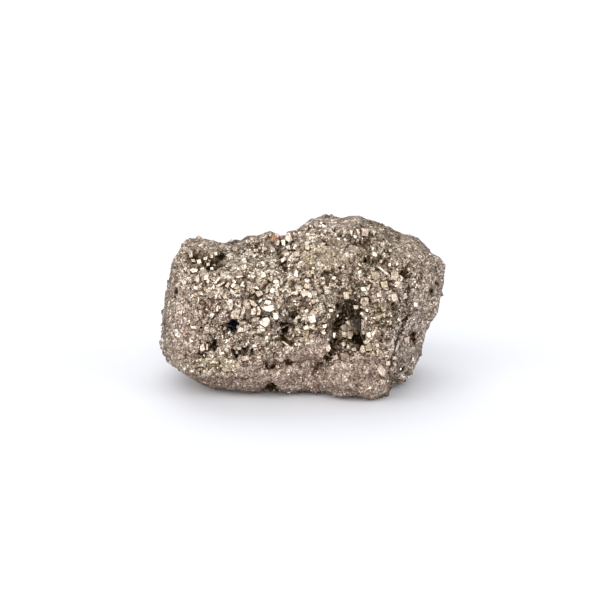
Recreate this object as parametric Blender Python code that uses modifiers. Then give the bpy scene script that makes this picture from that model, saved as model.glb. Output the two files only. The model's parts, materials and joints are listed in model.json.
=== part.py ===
"""A hand specimen of pyrite: one rough nugget of fused masses with clefts, vugs and a crust of cubic crystals.

Run with: blender --background --python part.py
The scene is in metres. Every length below is in millimetres and is multiplied by MM where it is used.
+X runs along the nugget, -Y is its front and +Z is up. The origin is under its middle, where it rests.
"""

import math

import bmesh
import bpy
import numpy as np
from mathutils import Euler, Matrix, Vector, noise
from mathutils.bvhtree import BVHTree
from mathutils.kdtree import KDTree

MM = 0.001

# Driving dimensions, in millimetres and degrees
LENGTH = 60.0              # along X, the nugget's longest side
SEED = 11

FUSE_CELL = 0.45           # cell size of the remesh that fuses the masses
SOFTEN_STEPS = 16          # smoothing passes over the creases between the masses
SWELLS = ((8.0, 0.9), (3.4, 0.45))         # unevenness of the masses: wavelength and height

FACING = (-0.1, 0.25)      # a side's clefts and hollows fade in between these slopes towards it
BOWL_RIM = (1.3, 0.5)      # a hollow starts at the first share of its size and is full at the second

CRUST_SPACING = 2.3        # between the middles of the crystals that cover the nugget
CRUST_EDGE = (1.8, 3.3)    # smallest and largest edge of those crystals
CRUST_RISE = 0.5           # how far they come up at most
CRUST_SUNK = (0.92, 1.05)  # depth of their middles in half edges: in coarse grain, in fine grain
CRUST_FLOOR = (-0.5, -0.3) # bottom of the gaps between them, likewise
CRUST_NEIGHBOURS = 10      # crystals looked at around each point of the surface

FINE_LEFT = -19.0          # the grain gets finer from here to the left, under FINE_TOP
FINE_TOP = 25.0
FINE_FOOT = 7.5            # and from here down
FINE_BLEND = 5.0           # over this distance

BODY_TRIANGLES = 6200      # what the crusted body is thinned to
CRYSTAL_SUNK = 0.3         # depth of a large crystal's middle, as a share of its edge
CRYSTAL_UNEVEN = 0.15      # how much its sides differ from its edge
LOOSE_CRYSTALS = 60        # large crystals away from the front
LOOSE_EDGE = (1.4, 2.3)
LOOSE_SUNK = 0.42
LOOSE_SLOPE = -0.2         # they sit where the surface faces the front less than this
LOOSE_FOOT = 4.0           # and above this height

# Rounded masses: middle, full size, squareness (2 is an ellipsoid, more is boxier) and turn about Y.
MASSES = {
    "core": ((-1.0, 0.5, 14.4), (53.0, 31.0, 26.6), 3.0, 0),
    "left_block": ((-16.6, 0.5, 15.1), (26.4, 33.0, 28.8), 3.0, 7),
    "left_corner": ((-20.8, 0.0, 25.7), (11.0, 20.0, 10.0), 2.8, 0),
    "knob": ((-7.6, 3.0, 27.0), (11.6, 13.0, 9.2), 2.2, 0),
    "dome": ((9.5, 1.5, 21.0), (30.4, 30.0, 28.6), 2.25, 0),
    "right_lobe": ((20.6, 1.5, 22.0), (18.6, 26.0, 18.4), 2.5, 0),
    "right_flank": ((16.4, 1.5, 11.8), (19.8, 27.0, 24.4), 3.0, 9),
    "front_foot": ((10.5, -5.2, 8.8), (21.8, 23.4, 19.2), 3.0, 0),
    "middle_foot": ((-1.0, -2.6, 8.6), (22.0, 24.0, 20.0), 3.0, 0),
    "left_foot": ((-12.7, -3.2, 8.6), (26.2, 25.4, 19.2), 2.5, 0),
    "back": ((0.0, 8.0, 13.2), (46.0, 24.0, 26.6), 2.6, 0),
}

# Each side is drawn on a plane that faces its azimuth and leans back by its tilt, and is measured across and up it.
# A cleft is a line of points, a width and a depth. A hollow is a middle, a size across and up, and a depth, and a
# negative depth makes it a swelling. A crystal is a middle and an edge.
SIDES = {
    "front": {
        "azimuth": 0,
        "tilt": 15,
        "clefts": [
            ([(-4.2, 32.5), (-3.9, 29.5), (-2.6, 25.8), (-0.5, 22.2), (0.3, 20.0)], 2.2, 1.5),
            ([(13.2, 31.0), (13.4, 25.0), (12.6, 21.2), (10.5, 18.0), (8.6, 14.9)], 2.6, 1.6),
            ([(8.0, 13.0), (7.1, 10.7), (6.9, 6.5), (4.8, 4.4), (2.1, 3.3)], 2.0, 1.8),
            ([(-0.4, 22.0), (3.8, 21.7), (7.6, 23.4), (10.6, 24.6)], 1.6, 1.3),
            ([(20.8, 18.5), (20.5, 12.0), (19.8, 6.0), (18.9, -1.5)], 2.2, 1.0),
            ([(-15.5, 17.4), (-12.0, 18.9), (-8.6, 17.2), (-7.8, 14.2)], 1.5, 1.6),
            ([(20.6, 31.5), (20.0, 28.0), (18.6, 25.0)], 2.4, 0.8),
        ],
        "hollows": [
            ((-19.5, 24.8), (8.5, 4.0), 1.9),
            ((10.2, 12.4), (6.8, 10.8), 3.2),
            ((-2.6, 12.8), (5.6, 7.8), 1.8),
            ((-14.7, 11.5), (2.6, 2.6), 1.6),
            ((-19.1, 7.3), (3.0, 2.4), 1.5),
            ((-13.0, 6.1), (5.4, 1.9), 1.6),
            ((-6.3, 3.4), (3.4, 1.8), 1.3),
            ((-7.4, -2.2), (3.0, 3.0), 2.4),
            ((16.0, 25.2), (4.5, 3.0), 1.5),
            ((21.4, 22.9), (2.4, 2.0), 1.5),
            ((12.6, 32.7), (1.8, 1.8), 1.1),
            ((23.5, 9.4), (3.0, 3.4), 1.4),
            ((21.4, 1.9), (3.0, 3.0), 1.2),
            ((27.3, 18.7), (2.0, 2.0), 1.1),
            ((-26.7, 18.0), (1.4, 3.6), 1.1),
            ((-10.8, 14.2), (11.0, 6.5), -1.1),
            ((3.6, 26.6), (13.0, 8.0), -0.8),
            ((17.5, 18.5), (8.0, 6.0), -0.8),
        ],
        "crystals": [
            ((-15.3, 15.7), 2.6), ((-13.3, 16.4), 2.0), ((-11.5, 15.7), 2.8), ((-9.5, 14.7), 2.6),
            ((-7.1, 16.3), 2.6), ((-6.4, 14.0), 2.4), ((-5.7, 12.4), 2.0), ((-8.4, 11.7), 2.7),
            ((-13.0, 10.7), 2.0), ((0.5, 18.9), 2.8), ((2.6, 18.5), 2.3), ((1.7, 13.4), 2.3),
            ((0.6, 11.3), 2.0), ((-2.4, 7.4), 1.9), ((-2.5, 29.4), 2.2), ((-3.5, 27.3), 2.0), ((-1.7, 26.1), 2.0),
            ((-22.9, 23.5), 2.1), ((-20.9, 23.9), 2.0), ((-21.4, 20.1), 2.0),
            ((10.9, 31.7), 2.2), ((10.1, 26.4), 2.0), ((14.4, 28.5), 2.0), ((17.0, 23.3), 2.4),
            ((12.4, 22.2), 2.2), ((12.2, 16.8), 2.2), ((19.1, 18.0), 2.9), ((17.0, 18.7), 2.1),
            ((8.9, 10.7), 3.3), ((11.3, 11.8), 3.1), ((10.1, 8.4), 2.6), ((8.2, 16.8), 2.2),
            ((14.5, 9.8), 2.3), ((5.2, 6.9), 2.3), ((11.2, 5.3), 2.1), ((-4.6, 1.9), 1.9),
        ],
    },
    "right": {
        "azimuth": 90,
        "tilt": 10,
        "clefts": [([(-9.0, 24.0), (-3.5, 19.0), (-2.0, 11.0), (2.5, 5.0)], 2.2, 1.4)],
        "hollows": [
            ((5.5, 21.0), (5.5, 4.0), 1.8),
            ((7.5, 9.5), (4.0, 6.0), 1.8),
            ((-7.5, 13.5), (2.6, 2.6), 1.4),
        ],
        "crystals": [],
    },
    "back": {
        "azimuth": 180,
        "tilt": 10,
        "clefts": [
            ([(4.0, 31.0), (3.4, 25.5), (6.0, 19.0), (5.2, 12.5), (8.5, 5.5)], 2.4, 1.6),
            ([(-24.0, 15.5), (-16.5, 13.0), (-10.0, 15.5), (-4.5, 13.0)], 1.9, 1.4),
        ],
        "hollows": [
            ((-11.5, 22.0), (7.5, 5.5), 2.3),
            ((14.5, 17.0), (6.5, 5.5), 2.1),
            ((-16.5, 6.5), (5.0, 3.4), 1.7),
            ((19.5, 8.0), (3.5, 4.5), 1.6),
            ((-1.0, 6.0), (4.0, 3.0), 1.6),
            ((-2.5, 20.5), (9.0, 6.0), -1.0),
        ],
        "crystals": [],
    },
    "left": {
        "azimuth": 270,
        "tilt": 10,
        "clefts": [([(-6.5, 22.5), (0.0, 20.5), (3.5, 14.0)], 1.8, 1.2)],
        "hollows": [
            ((-5.0, 11.0), (4.5, 4.0), 1.4),
            ((7.0, 15.0), (3.0, 4.5), 1.4),
        ],
        "crystals": [],
    },
    "top": {
        "azimuth": 0,
        "tilt": 90,
        "clefts": [
            ([(-3.6, -9.0), (-2.6, -2.0), (-4.5, 5.0), (-3.0, 12.0)], 2.2, 1.4),
            ([(18.0, -10.0), (19.5, -1.0), (17.0, 8.0)], 2.2, 1.0),
        ],
        "hollows": [
            ((-18.5, 5.5), (6.0, 4.5), 1.6),
            ((-12.5, -3.5), (3.0, 2.2), 1.1),
            ((9.5, 8.5), (5.5, 4.0), 1.6),
            ((5.0, -1.5), (3.0, 2.4), 1.1),
        ],
        "crystals": [],
    },
}


def clear_scene():
    for obj in list(bpy.data.objects):
        bpy.data.objects.remove(obj)


def new_collection(name):
    made = bpy.data.collections.new(name)
    bpy.context.scene.collection.children.link(made)
    return made


def new_object(name, bm, group):
    mesh = bpy.data.meshes.new(name)
    bm.to_mesh(mesh)
    bm.free()
    obj = bpy.data.objects.new(name, mesh)
    group.objects.link(obj)
    return obj


def apply_modifiers(obj):
    """Replaces the object's mesh by its evaluated one and drops the modifiers."""
    graph = bpy.context.evaluated_depsgraph_get()
    applied = bpy.data.meshes.new_from_object(obj.evaluated_get(graph))
    obj.modifiers.clear()
    obj.data = applied


def read_points(mesh, field="co"):
    flat = np.empty(len(mesh.vertices) * 3, np.float32)
    mesh.vertices.foreach_get(field, flat)
    return flat.reshape(-1, 3).astype(float)


def write_points(mesh, points):
    mesh.vertices.foreach_set("co", points.astype(np.float32).ravel())
    mesh.update()


def add_mass(bm, middle, size, squareness, turn):
    """Adds one superellipsoid: a sphere whose points are pulled out towards the corners of a box."""
    turned = Euler((0, math.radians(turn), 0)).to_matrix()
    half = Vector(size) * MM / 2
    for v in bmesh.ops.create_icosphere(bm, subdivisions=4, radius=1.0)["verts"]:
        reach = sum(abs(c) ** squareness for c in v.co) ** (-1 / squareness)
        v.co = turned @ (v.co * half * reach) + Vector(middle) * MM


def fuse(body):
    """Gives the body one clean skin of small, even faces."""
    skin = body.modifiers.new("skin", "REMESH")
    skin.mode = "VOXEL"
    skin.voxel_size = FUSE_CELL * MM
    apply_modifiers(body)


def fuse_masses(group):
    bm = bmesh.new()
    for mass in MASSES.values():
        add_mass(bm, *mass)
    body = new_object("pyrite_nugget", bm, group)
    fuse(body)
    soften = body.modifiers.new("soften", "SMOOTH")
    soften.factor = 0.5
    soften.iterations = SOFTEN_STEPS
    apply_modifiers(body)
    return body


def side_axes(side):
    """The across, up and outward directions of a side."""
    facing = math.radians(side["azimuth"])
    tilt = math.radians(side["tilt"])
    across = np.array([math.cos(facing), math.sin(facing), 0.0])
    level = np.array([math.sin(facing), -math.cos(facing), 0.0])
    up = np.array([0, 0, math.cos(tilt)]) - level * math.sin(tilt)
    outward = level * math.cos(tilt) + np.array([0, 0, math.sin(tilt)])
    return across, up, outward


def distance_to_line(points, line):
    nearest = np.full(len(points), np.inf)
    for start, end in zip(line, line[1:]):
        start, end = np.array(start), np.array(end)
        along = end - start
        share = np.clip((points - start) @ along / (along @ along), 0, 1)
        gap = np.linalg.norm(points - start - share[:, None] * along, axis=1)
        nearest = np.minimum(nearest, gap)
    return nearest


def blend(value, start, end):
    """Rises smoothly from 0 where the value is at the start to 1 where it is at the end."""
    share = np.clip((value - start) / (end - start), 0, 1)
    return share * share * (3 - 2 * share)


def carve(mesh):
    """Sinks the clefts and hollows of every side into the body and raises its swellings."""
    points = read_points(mesh)
    normals = read_points(mesh, "normal")
    moved = points.copy()
    for side in SIDES.values():
        across, up, outward = side_axes(side)
        flat = np.stack([points @ across, points @ up], 1) / MM
        facing = blend(normals @ outward, *FACING)
        depth = np.zeros(len(points))
        for line, width, deep in side["clefts"]:
            depth = np.maximum(depth, deep * blend(distance_to_line(flat, line), width, 0))
        for middle, size, deep in side["hollows"]:
            ring = np.linalg.norm((flat - middle) / (np.array(size) / 2), axis=1)
            bowl = deep * blend(ring, *BOWL_RIM)
            depth = np.where(deep > 0, np.maximum(depth, bowl), depth + bowl)
        moved -= outward * (depth * facing * MM)[:, None]
    write_points(mesh, moved)


def roughen(mesh):
    """Broad unevenness along the normals."""
    points = read_points(mesh)
    normals = read_points(mesh, "normal")
    for size, height in SWELLS:
        lift = [noise.noise(Vector(p) / (size * MM)) for p in points]
        points += normals * (np.array(lift) * height * MM)[:, None]
    write_points(mesh, points)


def fine_grained(points):
    """How fine the grain is, 0 to 1: the left end and the foot of the nugget have no large crystals."""
    x, _, z = points.T / MM
    left = blend(x, FINE_LEFT, FINE_LEFT - FINE_BLEND) * blend(z, FINE_TOP, FINE_TOP - FINE_BLEND)
    foot = blend(z, FINE_FOOT, FINE_FOOT - FINE_BLEND)
    return np.maximum(left, foot)


def spread_over(mesh, spacing, rng):
    """Picks random points of the mesh that are at least a spacing apart."""
    points = read_points(mesh)
    cells = {}
    chosen = []
    steps = [(i, j, k) for i in (-1, 0, 1) for j in (-1, 0, 1) for k in (-1, 0, 1)]
    for index in rng.permutation(len(points)):
        point = points[index]
        x, y, z = np.floor(point / spacing).astype(int)
        near = [other for i, j, k in steps for other in cells.get((x + i, y + j, z + k), [])]
        if not near or np.linalg.norm(np.array(near) - point, axis=1).min() > spacing:
            cells.setdefault((x, y, z), []).append(point)
            chosen.append(index)
    return np.array(chosen)


def random_turns(count, rng):
    """Random rotations as matrices, from unit quaternions."""
    q = rng.normal(size=(count, 4))
    w, x, y, z = (q / np.linalg.norm(q, axis=1)[:, None]).T
    rows = [
        [1 - 2 * (y * y + z * z), 2 * (x * y - w * z), 2 * (x * z + w * y)],
        [2 * (x * y + w * z), 1 - 2 * (x * x + z * z), 2 * (y * z - w * x)],
        [2 * (x * z - w * y), 2 * (y * z + w * x), 1 - 2 * (x * x + y * y)],
    ]
    return np.array(rows).transpose(2, 0, 1)


def add_crust(mesh, rng):
    """Pushes every point out to the outermost cube above it, which makes a crust of cube corners."""
    points = read_points(mesh)
    normals = read_points(mesh, "normal")
    seats = spread_over(mesh, CRUST_SPACING * MM, rng)
    half = rng.uniform(*CRUST_EDGE, len(seats)) * MM / 2
    rise = rng.uniform(0.0, CRUST_RISE, len(seats)) * MM
    fine = fine_grained(points)
    sunk = half * np.interp(fine[seats], (0, 1), CRUST_SUNK)
    middles = points[seats] + normals[seats] * (rise * (1 - fine[seats]) - sunk)[:, None]
    turns = random_turns(len(seats), rng)
    tree = KDTree(len(seats))
    for i, seat in enumerate(seats):
        tree.insert(points[seat], i)
    tree.balance()
    near = np.array([[found[1] for found in tree.find_n(p, CRUST_NEIGHBOURS)] for p in points])
    lift = np.interp(fine, (0, 1), CRUST_FLOOR) * MM
    for column in near.T:
        start = np.einsum("nij,nj->ni", turns[column], points - middles[column])
        along = np.einsum("nij,nj->ni", turns[column], normals)
        along = np.where(np.abs(along) < 1e-6, 1e-6, along)
        reach = half[column][:, None]
        crossings = np.array([(-reach - start) / along, (reach - start) / along])
        enter = crossings.min(axis=0).max(axis=1)
        leave = crossings.max(axis=0).min(axis=1)
        lift = np.where(leave > enter, np.maximum(lift, leave), lift)
    write_points(mesh, points + normals * lift[:, None])


def thin_out(body):
    thin = body.modifiers.new("thin", "DECIMATE")
    thin.ratio = BODY_TRIANGLES / sum(len(face.vertices) - 2 for face in body.data.polygons)
    apply_modifiers(body)


def add_crystal(group, seat, normal, edge, sunk, rng):
    """Adds one cube, slightly uneven in its sides, sunk into the surface at its seat."""
    turned = Matrix(random_turns(1, rng)[0].tolist())
    sides = Vector(rng.uniform(1 - CRYSTAL_UNEVEN, 1 + CRYSTAL_UNEVEN, 3)) * edge
    bm = bmesh.new()
    for v in bmesh.ops.create_cube(bm, size=1.0)["verts"]:
        v.co = turned @ (v.co * sides) + seat - normal * (edge * sunk)
    crystal = new_object("crystal", bm, group)
    crystal.hide_render = True
    crystal.display_type = "WIRE"


def grow_crystals(body, group, rng):
    """Adds the large crystals of each side, and loose ones away from the front."""
    corners = [v.co for v in body.data.vertices]
    tree = BVHTree.FromPolygons(corners, [face.vertices for face in body.data.polygons])
    for side in SIDES.values():
        across, up, outward = side_axes(side)
        for (x, y), edge in side["crystals"]:
            start = Vector((across * x + up * y + outward * LENGTH) * MM)
            seat, normal, _, _ = tree.ray_cast(start, Vector(-outward))
            add_crystal(group, seat, normal, edge * MM, CRYSTAL_SUNK, rng)
    points = read_points(body.data)
    normals = read_points(body.data, "normal")
    clear = (normals[:, 1] > LOOSE_SLOPE) & (points[:, 2] > LOOSE_FOOT * MM)
    coarse = fine_grained(points) < 0.5
    for index in rng.choice(np.flatnonzero(clear & coarse), LOOSE_CRYSTALS, replace=False):
        edge = rng.uniform(*LOOSE_EDGE) * MM
        add_crystal(group, Vector(points[index]), Vector(normals[index]), edge, LOOSE_SUNK, rng)


def add_ground(group):
    """Adds a block whose top face is the surface that the nugget rests on."""
    bm = bmesh.new()
    bmesh.ops.create_cube(bm, size=2 * LENGTH * MM)
    bmesh.ops.translate(bm, verts=bm.verts, vec=(0, 0, -LENGTH * MM))
    ground = new_object("ground", bm, group)
    ground.hide_render = True
    ground.display_type = "WIRE"


def combine(body, cutters, operation):
    """Joins the objects of a collection to the body, or cuts them away."""
    step = body.modifiers.new(cutters.name, "BOOLEAN")
    step.operation = operation
    step.operand_type = "COLLECTION"
    step.collection = cutters
    apply_modifiers(body)


def set_size(mesh):
    """Scales the nugget to its length and puts the origin under its middle."""
    points = read_points(mesh)
    low, high = points.min(axis=0), points.max(axis=0)
    shift = np.array([(low[0] + high[0]) / 2, (low[1] + high[1]) / 2, low[2]])
    write_points(mesh, (points - shift) * LENGTH * MM / (high[0] - low[0]))


def pyrite_material():
    made = bpy.data.materials.new("pyrite")
    made.use_nodes = True
    finish = made.node_tree.nodes["Principled BSDF"].inputs
    finish["Base Color"].default_value = (0.36, 0.30, 0.24, 1)
    finish["Metallic"].default_value = 0.85
    finish["Roughness"].default_value = 0.38
    return made


def make_nugget():
    rng = np.random.default_rng(SEED)
    nugget = fuse_masses(new_collection("pyrite"))
    roughen(nugget.data)
    carve(nugget.data)
    add_crust(nugget.data, rng)
    fuse(nugget)
    thin_out(nugget)
    crystals = new_collection("crystals")
    grow_crystals(nugget, crystals, rng)
    combine(nugget, crystals, "UNION")
    ground = new_collection("ground")
    add_ground(ground)
    combine(nugget, ground, "DIFFERENCE")
    set_size(nugget.data)
    nugget.data.materials.clear()
    nugget.data.materials.append(pyrite_material())


clear_scene()
make_nugget()
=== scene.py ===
import json
import math

import bmesh
import bpy
import numpy as np
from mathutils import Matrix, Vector, noise
from mathutils.bvhtree import BVHTree
from mathutils.kdtree import KDTree

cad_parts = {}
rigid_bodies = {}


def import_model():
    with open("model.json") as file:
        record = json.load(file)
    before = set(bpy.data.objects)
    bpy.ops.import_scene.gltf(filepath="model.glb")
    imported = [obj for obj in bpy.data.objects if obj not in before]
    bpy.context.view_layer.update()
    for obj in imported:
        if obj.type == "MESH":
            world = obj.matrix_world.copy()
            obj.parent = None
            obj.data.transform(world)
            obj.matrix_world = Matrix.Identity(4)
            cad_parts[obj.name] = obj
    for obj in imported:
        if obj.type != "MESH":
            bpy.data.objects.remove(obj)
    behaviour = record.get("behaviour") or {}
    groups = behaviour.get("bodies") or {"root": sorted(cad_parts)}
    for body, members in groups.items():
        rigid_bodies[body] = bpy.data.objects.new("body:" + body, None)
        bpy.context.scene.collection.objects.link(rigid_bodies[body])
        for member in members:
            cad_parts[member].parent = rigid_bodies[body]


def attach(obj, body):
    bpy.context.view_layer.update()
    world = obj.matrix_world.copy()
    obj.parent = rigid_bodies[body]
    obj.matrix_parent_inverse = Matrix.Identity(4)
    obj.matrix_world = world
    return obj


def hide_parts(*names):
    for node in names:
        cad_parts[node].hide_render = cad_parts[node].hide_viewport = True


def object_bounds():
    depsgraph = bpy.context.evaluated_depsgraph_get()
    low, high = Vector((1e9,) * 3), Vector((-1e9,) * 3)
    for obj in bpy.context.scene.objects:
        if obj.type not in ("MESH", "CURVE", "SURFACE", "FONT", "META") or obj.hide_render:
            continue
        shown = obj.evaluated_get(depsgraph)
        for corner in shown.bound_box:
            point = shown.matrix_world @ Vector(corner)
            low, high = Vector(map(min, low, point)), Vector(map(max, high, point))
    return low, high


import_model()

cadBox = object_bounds()  # the solid's box, which everything below stays inside
mm = 0.001
nuggetNode = "pyrite_nugget"

camera = {
    "elevation": 15.0,  # degrees above level
    "distance": 0.2972,  # from the nugget's middle
    "lens": 85.0,
    "sensor": 36.0,  # mm
    "aimSide": -0.0002,  # where it looks, from the nugget's middle
    "aimUp": -0.0008,
}

lights = {
    "walls": (0.4, 0.41, 0.43),
    "ceiling": (0.70, 0.73, 0.78),
    "turn": (0.05, 0.9),  # how high the walls start and end to turn into the ceiling
    "away": 0.5,  # of the lamps from the nugget, m
    # name: the way to it, strength, how wide it looks in degrees, colour
    "lamps": {
        "key": ((-0.35, -0.8, 0.5), 1.75, 80.0, (1.0, 0.99, 0.97)),
        "top": ((-0.1, 0.6, 0.7), 1.2, 66.0, (0.99, 0.995, 1.0)),
        "right": ((0.85, -0.4, 0.35), 0.95, 44.0, (1.0, 1.0, 1.0)),
        "left": ((-0.85, -0.35, 0.35), 0.75, 44.0, (1.0, 1.0, 1.0)),
    },
}

floor = {
    "size": 6.0,
    "colour": (0.785, 0.787, 0.81),
    "roughness": 0.7,
    "shine": 0.1,
}


def newObject(name, data):
    made = bpy.data.objects.new(name, data)
    bpy.context.scene.collection.objects.link(made)
    return made


def meshFrom(bm, name):
    mesh = bpy.data.meshes.new(name)
    bm.to_mesh(mesh)
    bm.free()
    return mesh


def applyModifiers(piece):
    graph = bpy.context.evaluated_depsgraph_get()
    applied = bpy.data.meshes.new_from_object(piece.evaluated_get(graph))
    piece.modifiers.clear()
    piece.data = applied


def readPoints(mesh, field="co"):
    flat = np.empty(len(mesh.vertices) * 3, np.float32)
    mesh.vertices.foreach_get(field, flat)
    return flat.reshape(-1, 3).astype(float)


def writePoints(mesh, points):
    mesh.vertices.foreach_set("co", points.astype(np.float32).ravel())
    mesh.update()


def storeNumber(mesh, name, values):
    field = mesh.attributes.new(name, "FLOAT", "POINT")
    field.data.foreach_set("value", np.asarray(values, np.float32))


def readNumber(mesh, name):
    values = np.empty(len(mesh.attributes[name].data), np.float32)
    mesh.attributes[name].data.foreach_get("value", values)
    return values.astype(float)


def blend(value, start, end):  # 0 at the start, 1 at the end, smooth between
    share = np.clip((value - start) / (end - start), 0, 1)
    return share * share * (3 - 2 * share)


def noiseAt(points, size, seed=0):  # about -1 to 1
    shift = Vector((seed * 13.7, seed * 5.1, seed * 9.3))
    return np.array([noise.noise(Vector(p) / size + shift) for p in points])


def unit(rows):
    return rows / np.linalg.norm(rows, axis=1)[:, None]


def treeOf(points):  # finds the nearest of the points
    tree = KDTree(len(points))
    for i, place in enumerate(points):
        tree.insert(place, i)
    tree.balance()
    return tree


def randomTurns(count, rng):
    w, x, y, z = unit(rng.normal(size=(count, 4))).T
    rows = [
        [1 - 2 * (y * y + z * z), 2 * (x * y - w * z), 2 * (x * z + w * y)],
        [2 * (x * y + w * z), 1 - 2 * (x * x + z * z), 2 * (y * z - w * x)],
        [2 * (x * z - w * y), 2 * (y * z + w * x), 1 - 2 * (x * x + y * y)],
    ]
    return np.array(rows).transpose(2, 0, 1)


# Shader maths as Python expressions
class Wire:
    def __init__(self, tree, socket=None):
        self.tree = tree
        self.socket = socket

    def node(self, kind, settings=None, inputs=None, output=0):
        made = self.tree.nodes.new(kind)
        for name, value in (settings or {}).items():
            if name == "stops":
                ramp = made.color_ramp.elements
                while len(ramp) < len(value):
                    ramp.new(1.0)
                for stop, (place, colour) in zip(ramp, value):
                    stop.position = place
                    stop.color = (*colour, 1)
            else:
                setattr(made, name, value)
        for name, value in (inputs or {}).items():
            target = made.inputs[name]
            if isinstance(value, Wire):
                self.tree.links.new(value.socket, target)
            else:
                target.default_value = value
        return Wire(self.tree, made.outputs[output])

    def other(self, output):  # another output of the same node
        return Wire(self.tree, self.socket.node.outputs[output])

    def maths(self, operation, first, second=0.0, clamped=False):
        settings = {"operation": operation, "use_clamp": clamped}
        return self.node("ShaderNodeMath", settings, {0: first, 1: second})

    def __add__(self, other):
        return self.maths("ADD", self, other)

    __radd__ = __add__

    def __sub__(self, other):
        return self.maths("SUBTRACT", self, other)

    def __rsub__(self, other):
        return self.maths("SUBTRACT", other, self)

    def __mul__(self, other):
        return self.maths("MULTIPLY", self, other)

    __rmul__ = __mul__

    def clamp(self):
        return self.maths("ADD", self, 0.0, clamped=True)

    def between(self, start, end):  # 0 at the start, 1 at the end
        return self.node("ShaderNodeMapRange", {"interpolation_type": "SMOOTHSTEP"},
                         {"Value": self, "From Min": start, "From Max": end})

    def vector(self, operation, value=None):
        inputs = {} if value is None else {"Scale" if operation == "SCALE" else 1: value}
        return self.node("ShaderNodeVectorMath", {"operation": operation}, {0: self, **inputs})


def mixColours(wire, factor, first, second):
    colours = [c if isinstance(c, Wire) else (*c, 1) for c in (first, second)]
    inputs = {0: factor, 6: colours[0], 7: colours[1]}
    return wire.node("ShaderNodeMix", {"data_type": "RGBA"}, inputs, output=2)


# The camera comes first, because the zones of the front are measured as it sees them
boxLow, boxHigh = np.array(cadBox[0]), np.array(cadBox[1])
nuggetMiddle = (boxLow + boxHigh) / 2
cameraTilt = math.radians(camera["elevation"])
towardsCamera = np.array([0, -math.cos(cameraTilt), math.sin(cameraTilt)])
cameraUp = np.array([0, math.sin(cameraTilt), math.cos(cameraTilt)])
cameraRight = np.array([1.0, 0, 0])
cameraAim = nuggetMiddle + cameraRight * camera["aimSide"] + cameraUp * camera["aimUp"]
cameraPlace = cameraAim + towardsCamera * camera["distance"]


def makeCamera():
    data = bpy.data.cameras.new("camera")
    data.lens = camera["lens"]
    data.sensor_width = camera["sensor"]
    made = newObject("camera", data)
    made.location = cameraPlace
    made.rotation_euler = Vector(-towardsCamera).to_track_quat("-Z", "Y").to_euler()
    bpy.context.scene.camera = made


def seenFrom(points):
    # millimetres across and up, on the plane through the aim that faces the camera
    offset = points - cameraPlace
    depth = -offset @ towardsCamera
    scale = camera["distance"] / depth / mm
    return (offset @ cameraRight) * scale, (offset @ cameraUp) * scale


def makeLights():
    world = bpy.data.worlds.new("studio")
    world.use_nodes = True
    # dim walls and a brighter ceiling
    wire = Wire(world.node_tree)
    way = wire.node("ShaderNodeTexCoord", output=0)
    height = wire.node("ShaderNodeSeparateXYZ", {}, {0: way}, output=2)
    colour = mixColours(wire, height.between(*lights["turn"]), lights["walls"], lights["ceiling"])
    wire.tree.links.new(colour.socket, world.node_tree.nodes["Background"].inputs["Color"])
    bpy.context.scene.world = world
    for name, (way, strength, width, colour) in lights["lamps"].items():
        data = bpy.data.lights.new(name, "SUN")
        data.energy = strength
        data.angle = math.radians(width)
        data.color = colour
        lamp = newObject(name, data)
        lamp.location = Vector(way).normalized() * lights["away"]
        lamp.rotation_euler = Vector(way).to_track_quat("Z", "Y").to_euler()
    bpy.context.scene.view_settings.view_transform = "Standard"


def makeFloor():
    bm = bmesh.new()
    bmesh.ops.create_grid(bm, x_segments=1, y_segments=1, size=floor["size"] / 2)
    plane = newObject("floor", meshFrom(bm, "floor"))
    paper = bpy.data.materials.new("paper")
    paper.use_nodes = True
    finish = paper.node_tree.nodes["Principled BSDF"].inputs
    finish["Base Color"].default_value = (*floor["colour"], 1)
    finish["Roughness"].default_value = floor["roughness"]
    finish["Specular IOR Level"].default_value = floor["shine"]
    plane.data.materials.append(paper)


makeCamera()
makeLights()
makeFloor()
print("camera, lights and floor are set")


# The massive pyrite under the crystals
massive = {
    "cell": 0.35,  # size of its faces, mm
    "softenSteps": 20,  # how much of the solid's large facets is smoothed away
    "broadSteps": 120,  # smoothing that finds its hollows
    "front": (-0.15, 0.2),  # how squarely the front faces the camera, where it starts and is full
    "outline": (-0.9, -0.4),  # the same for what swells or nudges the outline
    "spotFront": (0.0, 0.3),  # and for the single spots of colour
    "inset": 0.1,  # how far it lies inside the solid, mm
    "spare": 0.3,  # room for crystals at the outermost points, mm
    "coarseSpacing": 1.1,  # between its grains, mm
    "fineSpacing": 0.55,
    "edge": (0.8, 1.55),  # of a grain, as a share of the spacing
    "sunk": 0.85,  # depth of a grain's middle, in half edges
    "floor": -0.16,  # bottom of the gaps, mm
    "flatter": 0.84,  # how much of the relief the finest grain lacks
    "neighbours": 10,  # how many grains round a point may hold it up
    "shadeByLift": (0.02, -0.13),  # painted shade, darker in a gap by how far its surface lies out, mm,
    "shadeByPit": (0.35, 0.9),  # by the depth of its pit, mm,
    "shadeByFoot": (1.3, 0.5),  # and by its height over the floor, mm
    "seed": 5,
}

# The brow, where the front turns over to the top, is worn round
brows = {
    "turned": (0.5, 0.2),  # how squarely it faces the camera, where it starts and is full
    "rising": (0.0, 0.4),  # how far it looks up
    "least": 0.7,  # of what doesn't look up
    "round": 0.8,
    "raised": 0.2,  # mm
}

# The lower edge of the front hangs a little over the floor; pairs say where that starts and is full
overhang = {
    "height": 0.5,  # mm
    "forward": 0.7,  # as a share of its height
    "foot": 1.5,  # the base reaches up to here, mm
    "columns": 40,  # each way from the middle, 1 mm wide
    "downwards": (-0.2, -0.6),
    "behindRim": (5.5, 2.2),  # mm
    "above": (2.6, 0.8),  # mm
    "middle": -3.0,  # across
    "sides": (18, 14),  # from the middle, mm
}

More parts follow.
